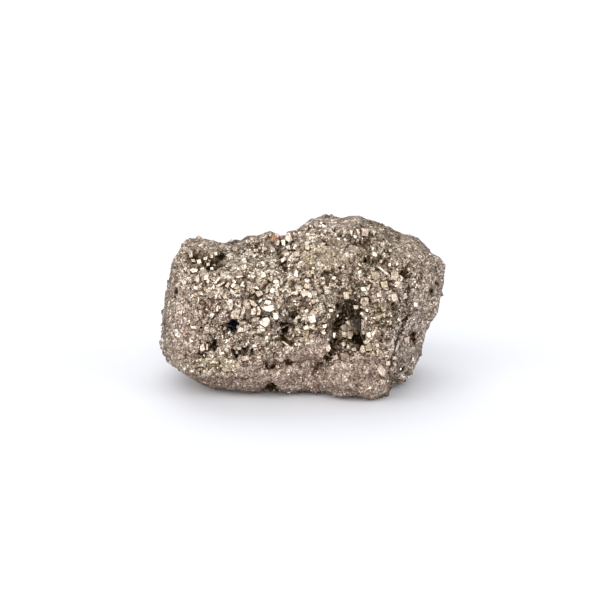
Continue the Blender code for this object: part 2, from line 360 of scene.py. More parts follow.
# Places on the front are across and up from the aim as the camera sees them, all in tenths of a mm
# Zones: the place, width, height and strength
zones = {
    "smooth": [
        (38, -155, 336, 92, 1.0), (-273, -63, 115, 260, 0.9), (239, -84, 76, 210, 0.8),
        (0, -97, 168, 46, 0.8), (56, 94, 115, 64, 0.75), (-235, 105, 84, 50, 0.5), (0, -185, 357, 50, 1.0),
        (294, 63, 55, 168, 0.7), (158, 164, 147, 35, 0.7), (30, -103, 110, 60, 1.0),
        (-210, 122, 147, 30, 0.7),
    ],
    "coarse": [
        (-105, -27, 118, 92, 1.0), (17, 15, 55, 34, 0.9), (21, -52, 59, 42, 0.8), (-25, 105, 46, 76, 0.9),
        (105, -55, 97, 126, 1.0), (-216, 52, 50, 63, 0.8), (130, 113, 84, 92, 0.6), (193, 34, 92, 84, 0.6),
        (-199, -101, 71, 46, 0.7), (-17, -63, 71, 71, 0.8), (151, -84, 46, 46, 0.8), (235, 80, 63, 55, 0.5),
        (-126, -118, 71, 25, 0.4), (-80, 52, 126, 50, 0.35),
    ],
    # brown stains; the faint wide ones along the top paint shade there
    "stained": [
        (-195, 84, 92, 46, 0.7), (94, -46, 71, 122, 0.8), (-29, -55, 46, 66, 0.4), (-187, -95, 34, 26, 0.9),
        (-124, -111, 64, 20, 0.9), (-55, -137, 38, 17, 0.7), (151, 84, 55, 63, 0.5),
        (105, 101, 34, 63, 0.2), (145, 130, 120, 80, 0.25), (94, 21, 71, 55, 0.1), (221, 59, 25, 25, 0.7),
        (130, 151, 29, 21, 0.6), (239, -80, 29, 42, 0.6), (218, -149, 29, 29, 0.3), (-110, 7, 64, 12, 0.8),
        (63, 50, 63, 21, 0.6), (176, -13, 50, 21, 0.6), (42, -139, 46, 25, 0.6), (-38, 101, 25, 55, 0.6),
        (-8, 115, 17, 29, 0.5), (135, -165, 120, 60, 0.12), (-225, 124, 120, 50, 0.22),
        (-90, 130, 160, 36, 0.14), (80, 170, 140, 40, 0.1),
    ],
    "olive": [
        (42, 97, 105, 67, 0.7), (-172, -134, 92, 55, 0.8), (181, -25, 71, 46, 1.0), (0, -73, 46, 38, 0.6),
        (105, -73, 63, 42, 0.5), (151, -105, 42, 25, 0.6), (-126, 67, 220, 83, 0.5),
        (10, 50, 180, 120, 0.4), (160, 90, 120, 100, 0.35), (-204, 34, 34, 29, 0.8),
        (-63, 137, 63, 63, 0.3),
    ],
    "mauve": [
        (25, -98, 120, 60, 0.8), (21, -151, 399, 105, 1.0), (-269, -73, 126, 231, 0.4),
        (-80, -105, 126, 50, 0.5), (-105, -178, 252, 34, 1.0),
    ],
    # grey along the rims and the right face, painted shade where the form turns away
    "greyish": [
        (-288, -30, 44, 280, 0.6), (235, -84, 92, 273, 1.0), (294, 63, 55, 168, 0.6),
        (-210, 122, 147, 25, 0.4), (158, 164, 147, 25, 0.5),
    ],
    "lively": [
        (-94, 63, 210, 105, 1.0), (46, 143, 105, 55, 0.7), (21, 0, 126, 105, 0.8), (151, 80, 105, 126, 0.4),
        (-200, 34, 105, 90, 0.8), (-170, -122, 96, 56, 1.0), (-105, -27, 118, 92, 1.0),
        (138, -69, 36, 42, 0.8), (-246, -80, 84, 180, 0.3), (-90, -75, 90, 30, 0.6), (200, -5, 80, 60, 0.6),
        (-145, -95, 100, 50, 0.9), (225, -160, 40, 40, 0.8), (105, 25, 80, 60, 0.5),
        (-60, -75, 170, 60, 0.85), (0, -30, 90, 70, 0.9), (-220, 122, 130, 36, 0.6),
    ],
    "tarnished": [(-53, 132, 17, 15, 1.0)],
    "bluish": [(-142, -55, 20, 30, 1.0), (-141, 120, 28, 10, 0.75)],
}

# Where the nugget's form is nudged, and the way it goes in mm
nudges = [
    (166, -187, 80, 50, (0.6, -0.8, -1.2)), (115, -190, 80, 40, (0.0, -0.3, -0.3)),
]

# Where the outline swells or draws in, and by how much in mm
swellings = [
    (-122, 126, 60, 40, 1.1), (-92, 145, 30, 36, -0.8), (-23, 143, 26, 34, 0.8), (-36, 141, 14, 26, -0.9),
    (74, 182, 50, 40, -0.7), (-284, 46, 40, 80, -0.7), (303, 32, 40, 90, 0.5), (196, -178, 30, 50, -1.6),
    (-269, -154, 40, 36, -0.6), (204, 134, 24, 30, 0.35), (-63, 149, 34, 30, 0.4), (185, 152, 22, 30, 0.6),
    (173, 162, 26, 30, -0.7), (-246, 116, 34, 34, 0.6), (294, 80, 40, 60, 0.7),
]

# Small pits, with their depth in mm
pits = [
    (-221, 90, 17, 15, 0.5), (-164, 92, 19, 13, 0.8), (-181, 71, 29, 17, 0.8), (-155, 122, 13, 8, 0.4),
    (-137, 124, 15, 6, 0.4), (-142, -52, 19, 30, 0.7), (-96, -24, 90, 64, 0.28), (-206, -52, 8, 11, 0.6),
    (-183, -38, 11, 6, 0.4), (-182, -96, 19, 21, 1.5), (-208, -118, 11, 11, 0.6), (-172, -111, 19, 6, 0.6),
    (-141, -113, 26, 14, 1.3), (-111, -109, 28, 18, 1.8), (-99, -126, 11, 8, 0.5), (-63, -138, 20, 12, 0.7),
    (-25, -132, 17, 11, 0.5), (-60, -192, 26, 26, 1.9), (-31, -55, 21, 25, 0.7), (-13, -31, 17, 21, 0.6),
    (-36, -78, 17, 15, 0.6), (84, -48, 23, 17, 1.3), (76, -94, 21, 29, 1.3), (84, -13, 19, 15, 0.9),
    (103, -32, 15, 8, 0.6), (126, -95, 14, 26, 0.9), (122, -80, 29, 21, 1.2), (69, -113, 17, 13, 1.0),
    (145, 80, 17, 17, 0.9), (155, 73, 11, 11, 0.8), (221, 55, 20, 16, 1.7), (277, 15, 9, 17, 0.4),
    (286, 34, 8, 11, 0.5), (204, 126, 11, 6, 0.6), (130, 153, 13, 8, 0.8), (239, -80, 11, 26, 0.5),
    (218, -151, 13, 11, 0.6), (216, -122, 8, 8, 0.6), (-262, 15, 5, 23, 0.6), (55, 122, 8, 8, 0.4),
    (-160, 21, 8, 6, 0.5), (197, -13, 8, 13, 0.7), (174, -6, 11, 6, 0.5), (120, -176, 17, 6, 0.2),
    (-67, 42, 11, 6, 0.4), (-61, 67, 11, 6, 0.4), (-13, 105, 8, 8, 0.6), (-36, 82, 13, 8, 0.7),
    (94, 25, 6, 6, 0.5), (225, -34, 6, 21, 0.5),
]

# Creases: their width and depth in mm, then the line that they follow
creases = [
    (1.1, 0.5, -34, 139, -40, 115, -44, 92, -38, 78, -29, 67),
    (0.9, 0.5, 113, 151, 109, 126, 122, 113, 143, 126, 145, 101, 143, 80, 155, 80, 139, 59, 134, 38),
    (0.7, 0.2, 134, 38, 115, 17, 99, -8), (1.1, 0.8, 99, -8, 82, -42, 78, -76, 76, -105, 55, -122),
    (0.6, 0.6, 23, 48, 42, 52, 63, 57, 84, 67),
    (0.7, 0.5, 231, -29, 218, -46, 210, -73, 204, -97, 193, -120, 189, -143, 191, -176),
    (0.5, 0.6, -145, 8, -126, 4, -105, 6, -90, -2, -80, -19, -73, -34, -84, -40), (0.5, 0.6, -19, 13, 0, 6),
    (0.45, 0.35, 25, -160, 34, -145, 46, -128, 63, -120), (0.5, 0.4, 46, -147, 55, -160),
    (0.5, 0.5, -73, -27, -59, -31), (0.6, 0.5, 6, -46, 4, -67, -6, -80, -21, -88),
    (0.4, 0.4, -118, 0, -124, -31), (0.5, 0.4, -116, -50, -103, -48),
    (1.2, 0.9, -158, 96, -174, 84, -193, 67),
]

# Large crystals of the front: how the main face lies, its first corner, then the others measured from that
# 2 full to the light, 1 nearly, 0 towards the front, -1 turned away, -2 turned away and painted dark
largeCrystals = {
    "faces": [
        (2, -155, -6, 6, 8, 14, 6, 14, -5, 12, -15, 8, -17, 6, -9),
        (2, -137, -8, 9, 8, 13, 4, 13, -9, 7, -7), (0, -145, -25, 11, 10, 21, 6, 19, -4, 15, -15, 2, -15),
        (0, -122, -19, 2, 8, 9, 4, 7, -6, 2, -19, -4, -19),
        (1, -122, -8, 7, 8, 17, 2, 19, -9, 11, -13, 7, -7), (1, -109, 2, 8, -2, 21, -13, 15, -17, 6, -13),
        (1, -105, -29, 2, 10, 11, 14, 13, 6, 11, -2, 2, -2), (2, -92, -15, 6, 2, 10, -8, 8, -16, 0, -16),
        (2, -88, -6, 4, 0, 10, 8, 8, 10, 2, 6), (2, -76, -8, 5, 8, 15, 6, 17, 0, 9, -3),
        (2, -80, -19, 4, 6, 23, 8, 28, 0, 17, -6, 7, -4), (2, -59, -25, 11, -2, 15, -11, 11, -17, 4, -15),
        (2, -84, -50, 4, 10, 17, 14, 21, 6, 19, -2, 11, -7), (2, -90, -63, 6, 11, 17, 4, 17, -2, 4, -4),
        (1, -71, -59, 8, 7, 10, -2, 4, -6), (2, -132, -63, 6, 6, 14, 4, 12, -4, 2, -4),
        (0, -103, -42, 6, 6, 19, 6, 15, -2, 2, -4), (-1, -115, -27, 8, 4, 10, -11, 2, -13),
        (0, -128, -46, 8, 2, 19, 0, 10, -6, 2, -6), (2, -162, 8, 7, 5, 9, -4, 2, -6),
        (1, -111, -69, 14, 8, 21, 2, 10, -4), (0, -94, 15, 4, 4, 14, 4, 16, -4, 6, -9),
        (2, -99, 25, 7, 4, 13, 0, 13, -4, 7, -2), (1, -145, 13, 13, 8, 17, 6, 4, -2),
        (1, -197, 38, 4, 8, 8, 2, 4, -4), (2, -181, 34, 11, 14, 15, 12, 5, 0),
        (2, -178, 29, 18, 9, 20, 7, 8, -2), (1, -158, 29, 7, 9, 11, 5, 7, -4),
        (2, -147, 29, 8, 7, 13, 2, 6, -4), (1, -126, 29, 6, 11, 8, 9, 6, -2),
        (2, -137, 48, 11, 4, 19, 2, 7, -2), (2, -124, 65, 2, 8, 11, 11, 13, 4, 6, -2),
        (2, -84, 50, 2, 11, 11, 7, 13, -2, 4, -4), (2, -69, 44, 4, 4, 8, 0, 4, -4),
        (2, -57, 36, 2, 6, 13, 6, 13, 0, 7, -2), (1, -73, 13, 2, 14, 6, 16, 6, 2),
        (2, -63, 19, 4, 8, 11, 4, 8, -4, 2, -4), (1, -52, 17, 8, -2, 8, -9, 2, -9),
        (2, -13, 50, 5, 15, 9, 9, 9, -2), (1, -176, -23, 2, 12, 6, 12, 4, -2),
        (2, -191, -34, 6, 7, 13, 5, 8, -2), (2, -202, -61, 5, 6, 11, 4, 5, -2),
        (1, -162, -61, 4, 6, 9, 2, 4, -2), (1, -13, -61, 9, 4, 13, -2, 5, -4),
        (2, 2, 17, 11, 4, 17, -6, 4, -11), (2, 15, 17, 8, -2, 10, -13, 2, -11),
        (2, 23, 19, 11, 0, 13, -8, 4, -15), (1, 8, 31, 13, 3, 15, -8, 3, -8),
        (1, -11, 29, 13, 2, 15, -6, 3, -8), (2, -19, 17, 17, 2, 15, -6, 0, -6),
        (2, 19, -34, 12, 3, 15, -12, 4, -14, -2, -8), (1, 23, -21, 13, -4, 11, -10, -2, -10),
        (2, 6, -55, 11, 3, 13, -6, 2, -8), (2, 46, -52, 11, 2, 9, -7, 2, -7),
        (1, 44, -67, 11, 0, 8, -6, 2, -4), (2, -13, -46, 5, 12, 9, 10, 7, -2),
        (1, 61, -19, 8, 0, 8, -6, 0, -6), (1, 0, -19, 11, -2, 8, -8, 0, -6),
        (1, 61, 36, 12, -2, 10, -7, 0, -7), (2, 67, 52, 9, -4, 6, -10, 0, -8),
        (2, -29, 139, 8, 2, 14, -13, 6, -19, -2, -13), (2, -40, 126, 9, 0, 9, -13, 2, -11),
        (2, -34, 101, 11, 0, 13, -9, 3, -11), (2, -42, 86, 11, 4, 13, -2, 4, -8), (1, -27, 84, 8, 4, 8, -4),
        (1, -13, 101, 11, 2, 13, -9, 2, -11), (1, -31, 113, 10, 2, 12, -8, 4, -8),
        (1, 11, 115, 10, -2, 8, -10, 0, -8), (1, -48, 124, 6, 2, 4, -11, -2, -9),
        (2, -231, 63, 6, 4, 17, 2, 15, -4, 4, -6), (2, -210, 67, 8, 2, 11, -6, 2, -10),
        (1, -231, 86, 10, 0, 13, -8, 4, -6), (1, -218, 50, 6, 5, 8, -10, 2, -14, -3, -8),
        (1, -199, 55, 8, -3, 6, -13, -3, -13), (2, -223, 29, 9, 0, 9, -8, 0, -6),
        (2, -202, 90, 9, 2, 7, -6, 0, -6), (2, -189, 97, 6, -3, 6, -9, 2, -9), (1, -193, 84, 6, 0, 4, -4),
        (1, -97, 107, 9, 0, 9, -6, 0, -6), (2, 118, 149, 6, -2, 8, -10, 2, -10),
        (2, 105, 147, 6, -2, 4, -13, 0, -10), (2, 111, 137, 9, -3, 7, -9, 2, -7),
        (2, 94, 99, 7, 2, 9, -7, 3, -9), (1, 65, 164, 15, 0, 13, -4, 0, -4),
        (0, 149, 59, 17, 0, 21, -11, 11, -17, 2, -13), (0, 191, 59, 11, 2, 17, -9, 11, -19, 0, -17),
        (2, 162, 69, 4, 2, 23, -14, 21, -17), (2, 151, 101, 9, -2, 11, -11, 2, -9),
        (1, 221, 97, 8, 4, 12, -5, 4, -13, 0, -9), (1, 168, 120, 8, 2, 10, -7, 2, -9),
        (1, 185, 107, 8, 0, 8, -6, 2, -6), (0, 128, 151, 17, -2, 15, -19, 2, -17),
        (1, 139, 21, 4, 10, 10, 13, 6, 0), (0, 168, 38, 15, 2, 17, -11, 4, -13),
        (2, 191, 13, 11, 0, 15, -13, 4, -17), (1, 210, 13, 13, 2, 15, -9, 4, -13),
        (1, 160, 15, 10, 2, 12, -9, 2, -9), (0, 128, 4, 15, 2, 17, -12, 4, -19, -2, -10),
        (1, 111, -11, 11, 0, 11, -8, 2, -8), (0, 90, 17, 13, 0, 13, -15, 2, -15),
        (-2, 107, -42, 21, 4, 19, -17, 13, -31, 2, -10), (1, 128, -40, 9, -2, 6, -19, 0, -27),
        (0, 99, -63, 14, -2, 10, -19, 0, -17), (-1, 84, -57, 8, 7, 21, 11, 29, -2, 15, -8, 4, -8),
        (0, 86, -65, 13, -2, 11, -15, 2, -13), (0, 94, -46, 9, 4, 17, -4, 21, -15, 17, -17),
        (1, 94, -38, 7, 2, 5, -4), (2, 139, -71, 8, 4, 10, -7, 4, -9), (2, 149, -71, 9, 12, 13, 8, 4, -7),
        (1, 132, -86, 7, 2, 9, -6, 2, -6), (2, 69, -67, 7, 0, 4, -13, 0, -11),
        (2, 55, -97, 6, 5, 10, -4, 6, -12, 0, -8), (1, 69, -120, 9, 7, 13, -2, 4, -6),
        (-1, 84, -111, 13, 2, 23, -11, 17, -19, 4, -15), (1, 107, -101, 11, 2, 11, -6, 2, -6),
        (1, 86, -90, 8, 4, 11, -4, 4, -9), (1, 97, -38, 6, 4, 8, -2), (1, 130, -69, 7, 2, 4, -4),
        (1, 158, -90, 8, 0, 8, -9, 2, -9), (1, 126, -105, 8, 2, 13, -4, 4, -6),
        (0, 162, -137, 8, 3, 19, -10, 16, -25, 8, -23, 0, -12), (1, 181, -128, 8, 0, 8, -9, 0, -9),
        (1, 168, -166, 13, -2, 10, -12, 2, -10), (2, 239, -4, 7, -2, 7, -11, 0, -9),
        (2, 235, -120, 4, 2, 4, -8, 0, -8), (1, 199, -107, 7, 23, 11, 21, 5, -2),
        (2, -50, -153, 6, 4, 8, -2, 2, -9), (1, -73, -147, 6, 0, 6, -6, 2, -6),
        (1, -40, -86, 6, 0, 17, -8, 13, -11), (1, -210, -97, 8, 7, 11, -8, 2, -12),
        (1, -197, -92, 4, 0, 4, -13, 0, -13), (2, -170, -109, 10, 0, 12, -4, 2, -6),
        (1, -137, -105, 11, 0, 11, -8, 3, -8), (0, -124, -118, 17, 3, 17, -8, 4, -10),
        (2, -231, -55, 13, 0, 15, -6, 4, -6), (1, -189, -29, 6, 0, 6, -9, 0, -7),
        (1, -185, -126, 9, -2, 7, -8, 0, -6), (1, -99, -94, 9, 2, 9, -5, 0, -5),
        (1, 189, -82, 8, 2, 10, -19, 2, -17), (1, -246, 111, 11, 0, 11, -6, 2, -8),
        (1, 218, -80, 11, 4, 11, -10, 3, -12), (2, -217, 84, 8, 2, 11, -6, 3, -9),
        (1, -233, 96, 7, 1, 8, -6, 1, -7), (2, -180, 100, 6, 1, 7, -6, 1, -7),
        (1, -197, 78, 7, 1, 8, -6, 1, -7), (2, -188, 69, 6, 0, 7, -7, 0, -7),
    ],
    "turn": {2: 1.0, 1: 0.6, 0: 0.1, -1: 0.0, -2: 0.0},  # from the front to the light
    # painted light and shade: paler tones for crystals turned to the light, darker for those turned away
    "tone": {2: (0.8, 1.0), 1: (0.6, 0.8), 0: (0.4, 0.54), -1: (0.2, 0.34), -2: (0.0, 0.02)},
    # brown stain and painted shade on the crystals turned away from the light
    "stained": {-1: 0.45, -2: 1.0},
    "stainAndShadeSides": 0.3,  # as a share of the main face's stain and painted shade
    "olive": (0.0, 0.65),
    "away": (0.9, -0.5, 0.25),  # where the faces look that are turned away
    "raised": 0.1,  # how far the lowest corner stands out of the seats, mm
    "wideRaised": 0.25,  # how much more a wide one does, as a share of its reach
    "most": 0.8,  # and the farthest that any does
    "darkRaised": 1.6,  # a dark one, as a share of the most
    "bevel": (0.84, 0.95),  # share of the outline that the main face takes
    "aside": 0.7,  # how far that face is off its middle
    "rise": (0.05, 0.14),  # height of the bevel, as a share of the width
    "back": (0.9, 1.3),  # how wide the back is, and how deep down
    "lean": 9.0,  # how far a face strays, degrees
    "strays": 0.6,
    "bluish": (0.6, 1.0),  # the stain and painted shade where it starts to look blue, and where it does fully
    "bluishMost": 0.5,
    "seed": 21,
}


def outlineOf(steps):
    corners = np.reshape(steps, (-1, 2))
    corners[1:] += corners[0]
    return corners


# Where spots of each kind start and are full, in half widths
fade = {
    "zones": (1.35, 0.6),
    "swellings": (1.3, 0.1),
    "nudges": (1.5, 0.3),
    "pits": (1.25, 0.65),
    "taken": (1.5, 1.1),  # the room for the large crystals
}
pitDeeper = 1.4  # the pits' depths times this
pitLean = 0.4  # how far they lean to the camera

# How ragged the outlines are of all that lies on the front: how far, and over what length, mm
ragged = ((0.3, 1.1), (0.25, 2.6))

# Pits of the other sides
otherPits = {
    "count": 90,
    "facing": 0.2,  # they start where less of the front shows
    "width": (0.9, 2.8),  # mm
    "depth": (0.5, 1.1),
    "stretch": (0.6, 1.4),
    "slope": (1.2, 0.2),  # where the rim starts and the pit is full, in half widths
    "seed": 14,
}

# How the other sides vary: size of a patch in mm, its seed, what a hollow adds, where the patch starts and
# is full, and its strength
patches = {
    "smooth": (8.0, 2, 0.0, 0.0, 0.4, 0.9),
    "coarse": (5.0, 4, 0.0, 0.1, 0.45, 1.0),
    # the stain patches gather in hollows, partly as painted shade
    "stained": (5.0, 4, 0.8, 0.45, 1.0, 0.8),
    "olive": (7.0, 6, 0.0, 0.1, 0.5, 0.8),
    "mauve": (11.0, 7, 0.0, -0.2, 0.3, 1.0),
    "greyish": (12.0, 9, 0.0, 0.0, 0.4, 1.0),
    "lively": (9.0, 11, 0.0, 0.0, 0.4, 1.0),
}
# What the zones owe to the form: a worn foot, a top greyed as painted shade, a smooth brow, and pits
ground = {
    "foot": (7.0, 2.5),  # height of the worn foot, mm
    "top": (0.55, 0.9),  # how far the top looks up
    "topSmooth": 0.75,
    "topGreyShade": 0.5,
    "browSmooth": 0.95,
    "pitRough": (0.5, 0.2),  # depth of a pit that isn't smooth, and of one that may be, mm
    "pitStainShade": (0.15, 0.6),
}


def zoneStrength(spots, across, up, facing, kind="zones"):
    # the strongest spot at each point
    strength = np.zeros(len(across))
    for *spot, full in spots:
        middleAcross, middleUp, width, height = np.divide(spot, 10)
        ring = np.hypot((across - middleAcross) / width, (up - middleUp) / height) * 2
        here = full * blend(ring, *fade[kind])
        strength = np.where(np.abs(here) > np.abs(strength), here, strength)
    return strength * facing


def creaseDepth(across, up, facing):
    place = np.stack([across, up], axis=1)
    deepest = np.zeros(len(across))
    for width, depth, *places in creases:
        line = np.reshape(places, (-1, 2)) / 10
        for start, end in zip(line, line[1:]):
            along = np.clip((place - start) @ (end - start) / ((end - start) @ (end - start)), 0, 1)
            away = np.linalg.norm(place - start - along[:, None] * (end - start), axis=1)
            deepest = np.maximum(deepest, depth * blend(away, width * 0.75, 0))
    return deepest * facing


def scatteredPits(points, facing):
    rng = np.random.default_rng(otherPits["seed"])
    tree = treeOf(points)
    deepest = np.zeros(len(points))
    behind = np.flatnonzero(facing < otherPits["facing"])
    for middle in rng.choice(behind, otherPits["count"], replace=False):
        width = rng.uniform(*otherPits["width"])
        depth = rng.uniform(*otherPits["depth"])
        stretch = rng.uniform(*otherPits["stretch"], 3)
        for place, i, _ in tree.find_range(points[middle], width * mm):
            ring = np.linalg.norm((points[i] - points[middle]) * stretch) / mm / width * 2
            deepest[i] = max(deepest[i], depth * blend(ring, *otherPits["slope"]))
    return deepest * (1 - facing)


def softened(mesh, steps):
    piece = newObject("softened", mesh.copy())
    soften = piece.modifiers.new("soften", "SMOOTH")
    soften.factor = 0.5
    soften.iterations = steps
    applyModifiers(piece)
    points = readPoints(piece.data)
    bpy.data.objects.remove(piece)
    return points


def evenSkin():
    # the solid's form as one even skin
    bm = bmesh.new()
    bm.from_mesh(bpy.data.objects[nuggetNode].data)
    bmesh.ops.remove_doubles(bm, verts=bm.verts, dist=1e-6)
    seats = newObject("seats", meshFrom(bm, "seats"))
    skin = seats.modifiers.new("skin", "REMESH")
    skin.mode = "VOXEL"
    skin.voxel_size = massive["cell"] * mm
    applyModifiers(seats)
    return seats


def hangOver(points, normals, across, facing):
    # how far the lower edge of the front is lifted
    half = overhang["columns"]
    column = np.clip(np.round(across), -half, half).astype(int) + half
    low = points[:, 2] < overhang["foot"] * mm
    rim = np.full(2 * half + 1, 1.0)
    np.minimum.at(rim, column[low], points[low, 1])
    hanging = np.maximum(facing, blend(normals[:, 2], *overhang["downwards"]))
    hanging *= blend((points[:, 1] - rim[column]) / mm, *overhang["behindRim"])
    height = overhang["height"] * blend(points[:, 2] / mm, *overhang["above"])
    hanging *= height * blend(np.abs(across - overhang["middle"]), *overhang["sides"])
    return np.outer(hanging, (0, -overhang["forward"], 1)) * mm


def raggedly(place, points, seed):
    for step, (far, size) in enumerate(ragged):
        place = place + far * noiseAt(points, size * mm, seed + step)
    return place


def patchy(points, name, depth):
    size, seed, hollow, start, full, strength = patches[name]
    return strength * blend(noiseAt(points, size * mm, seed) + hollow * depth, start, full)


def seatSurface():
    # what the grains and crystals sit on, with its zones stored as numbers on its points
    seats = evenSkin()
    mesh = seats.data
    broad = softened(mesh, massive["broadSteps"])
    writePoints(mesh, softened(mesh, massive["softenSteps"]))
    points = readPoints(mesh)
    normals = readPoints(mesh, "normal")
    across, up = seenFrom(points)
    towards = normals @ towardsCamera
    facing = blend(towards, *massive["front"])
    ahead = blend(towards, *massive["outline"])

    rising = np.maximum(blend(normals[:, 2], *brows["rising"]), brows["least"])
    brow = blend(np.abs(towards), *brows["turned"]) * rising
    storeNumber(mesh, "brow", brow)
    worn = (broad - points) * brow[:, None] * brows["round"]
    points += worn + normals * brow[:, None] * brows["raised"] * mm
    swollen = sum(zoneStrength([spot], across, up, ahead, "swellings") for spot in swellings)
    points += normals * swollen[:, None] * mm
    for *spot, way in nudges:
        strength = zoneStrength([(*spot, 1.0)], across, up, ahead, "nudges")
        points += strength[:, None] * np.array(way) * mm
    points += hangOver(points, normals, across, facing)

    across, up = raggedly(across, points, 21), raggedly(up, points, 23)
    pitted = zoneStrength(pits, across, up, facing, "pits") * pitDeeper
    pitted = np.maximum(pitted, creaseDepth(across, up, facing))
    points -= unit(normals + towardsCamera * pitLean) * pitted[:, None] * mm
    others = scatteredPits(points, facing)
    points -= normals * (others[:, None] + massive["inset"]) * mm
    spare = massive["spare"] * mm
    points = np.clip(points, boxLow + (spare, spare, 0), boxHigh - spare)
    writePoints(mesh, points)
    depth = np.einsum("ij,ij->i", broad - points, normals) / mm  # over 0 in a hollow
    pitted = np.maximum(pitted, others)

    foot = blend(points[:, 2] / mm, *ground["foot"])
    top = blend(normals[:, 2], *ground["top"])
    fields = {name: patchy(points, name, depth) * (1 - facing) for name in patches}
    fields["smooth"] = np.maximum(foot, np.maximum(ground["topSmooth"] * top, fields["smooth"]))
    fields["coarse"] *= 1 - foot
    fields["lively"] *= 1 - foot
    # painted shade: the top is greyed
    fields["greyish"] += ground["topGreyShade"] * top
    for name, spots in zones.items():
        small = name not in fields
        seen = blend(towards, *massive["spotFront"]) if small else facing
        field = np.maximum(0 if small else fields[name], zoneStrength(spots, across, up, seen))
        if name == "smooth":
            field *= 1 - zoneStrength(zones["coarse"], across, up, facing)
            field *= 1 - zoneStrength(zones["lively"], across, up, facing)
            field = np.maximum(field, ground["browSmooth"] * brow) * blend(pitted, *ground["pitRough"])
        if name == "stained":
            # brown oxide in the pits, with painted shade there too
            field = np.maximum(field, blend(pitted, *ground["pitStainShade"]))
        storeNumber(mesh, name, field)
    storeNumber(mesh, "pitted", pitted)
    taken = []
    for _, *steps in largeCrystals["faces"]:
        outline = outlineOf(steps)
        low, high = outline.min(axis=0), outline.max(axis=0)
        taken.append((*(low + high) / 2, *(high - low), 1.0))
    storeNumber(mesh, "taken", zoneStrength(taken, across, up, facing, "taken"))
    return seats


def spreadOver(points, spacing, rng):
    # random points, each at least its own spacing from the others
    cell = spacing.max()
    cells = {}
    chosen = []
    steps = [(i, j, k) for i in (-1, 0, 1) for j in (-1, 0, 1) for k in (-1, 0, 1)]
    keys = np.floor(points / cell).astype(int)
    for index in rng.permutation(len(points)):
        x, y, z = keys[index]
        near = [other for i, j, k in steps for other in cells.get((x + i, y + j, z + k), ())]
        if not near or np.linalg.norm(points[near] - points[index], axis=1).min() > spacing[index]:
            cells.setdefault((x, y, z), []).append(index)
            chosen.append(index)
    return np.array(chosen)


def makeMassive(seats):
    # a crust of grains: every point goes out to the outermost cube above it
    rng = np.random.default_rng(massive["seed"])
    mesh = seats.data.copy()
    points = readPoints(mesh)
    normals = readPoints(mesh, "normal")
    smooth = readNumber(mesh, "smooth")
    spacing = np.interp(smooth, (0, 1), (massive["coarseSpacing"], massive["fineSpacing"])) * mm
    grains = spreadOver(points, spacing, rng)
    half = rng.uniform(*massive["edge"], len(grains)) * spacing[grains] / 2
    middles = points[grains] - normals[grains] * (half * massive["sunk"])[:, None]
    turns = randomTurns(len(grains), rng)
    tree = treeOf(points[grains])
    near = np.array([[found[1] for found in tree.find_n(p, massive["neighbours"])] for p in points])
    lift = np.full(len(points), massive["floor"] * mm)  # how far each point goes out
    owner = near[:, 0].copy()
    for column in near.T:
        start = np.einsum("nij,nj->ni", turns[column], points - middles[column])
        along = np.einsum("nij,nj->ni", turns[column], normals)
        along = np.where(np.abs(along) < 1e-6, 1e-6, along)
        reach = half[column][:, None]
        crossings = np.array([(-reach - start) / along, (reach - start) / along])
        enter = crossings.min(axis=0).max(axis=1)
        leave = crossings.max(axis=0).min(axis=1)
        higher = (leave > enter) & (leave > lift)
        lift = np.where(higher, leave, lift)
        owner = np.where(higher, column, owner)
    points += normals * (lift * (1 - massive["flatter"] * smooth))[:, None]
    writePoints(mesh, np.clip(points, boxLow, boxHigh))
    tone = rng.random(len(grains))
    storeNumber(mesh, "tone", tone[owner])
    # painted shade: darker where the surface lies low between grains, in pits and along the foot
    pitted = blend(readNumber(mesh, "pitted"), *massive["shadeByPit"])
    gap = np.maximum(blend(lift / mm, *massive["shadeByLift"]), pitted)
    storeNumber(mesh, "gap", np.maximum(gap, blend(points[:, 2] / mm, *massive["shadeByFoot"])))
    piece = newObject("massivePyrite", mesh)
    print("massive pyrite:", len(grains), "grains,", len(mesh.polygons), "faces")
    return piece


# Crystals scattered over the massive pyrite
crystalSorts = {
    "flecks": {
        "spacing": 0.56,  # least distance between two, mm
        "size": (0.34, 0.85),
        "sunk": 0.36,  # depth of the middle, as a share of the size
        "tilt": 42.0,  # how far a face may lean, degrees
        "cover": {"all": 0.6, "smooth": -0.3, "coarse": -0.35},
        "seed": 3,
    },
    "grains": {
        "spacing": 0.8,
        "size": (0.6, 1.35),
        "sunk": 0.32,
        "tilt": 60.0,
        "cover": {"all": 0.8, "smooth": -0.75, "coarse": -0.2, "lively": 0.3},
        "seed": 8,
    },
    "coarseCrystals": {
        "spacing": 1.1,
        "size": (0.9, 1.9),
        "sunk": 0.3,
        "tilt": 75.0,
        "cover": {"all": -0.12, "coarse": 1.0},
        "seed": 12,
    },
}
sparse = {
    "pits": 0.75,  # how far the cover thins out in a pit
    "pitDepth": (0.15, 0.5),  # mm
    "brow": 0.9,
    "crowding": 1.6,  # how many places are tried, per square of the spacing
}
habits = {
    "foot": (0.3, -0.3),  # painted shade: a crystal is darker from the first height down to the second
    "cut": 0.3,  # of a blunted cube's corners
    "chips": 9,
}


def hullMesh(name, corners):
    bm = bmesh.new()
    for corner in corners:
        bm.verts.new(corner)
    bmesh.ops.convex_hull(bm, input=bm.verts)
    bmesh.ops.delete(bm, geom=[v for v in bm.verts if not v.link_faces], context="VERTS")
    bmesh.ops.dissolve_limit(bm, angle_limit=0.01, verts=bm.verts, edges=bm.edges)
    bmesh.ops.recalc_face_normals(bm, faces=bm.faces)
    mesh = meshFrom(bm, name)
    # painted shade towards each crystal's foot
    storeNumber(mesh, "gap", blend(readPoints(mesh)[:, 2], *habits["foot"]))
    return mesh


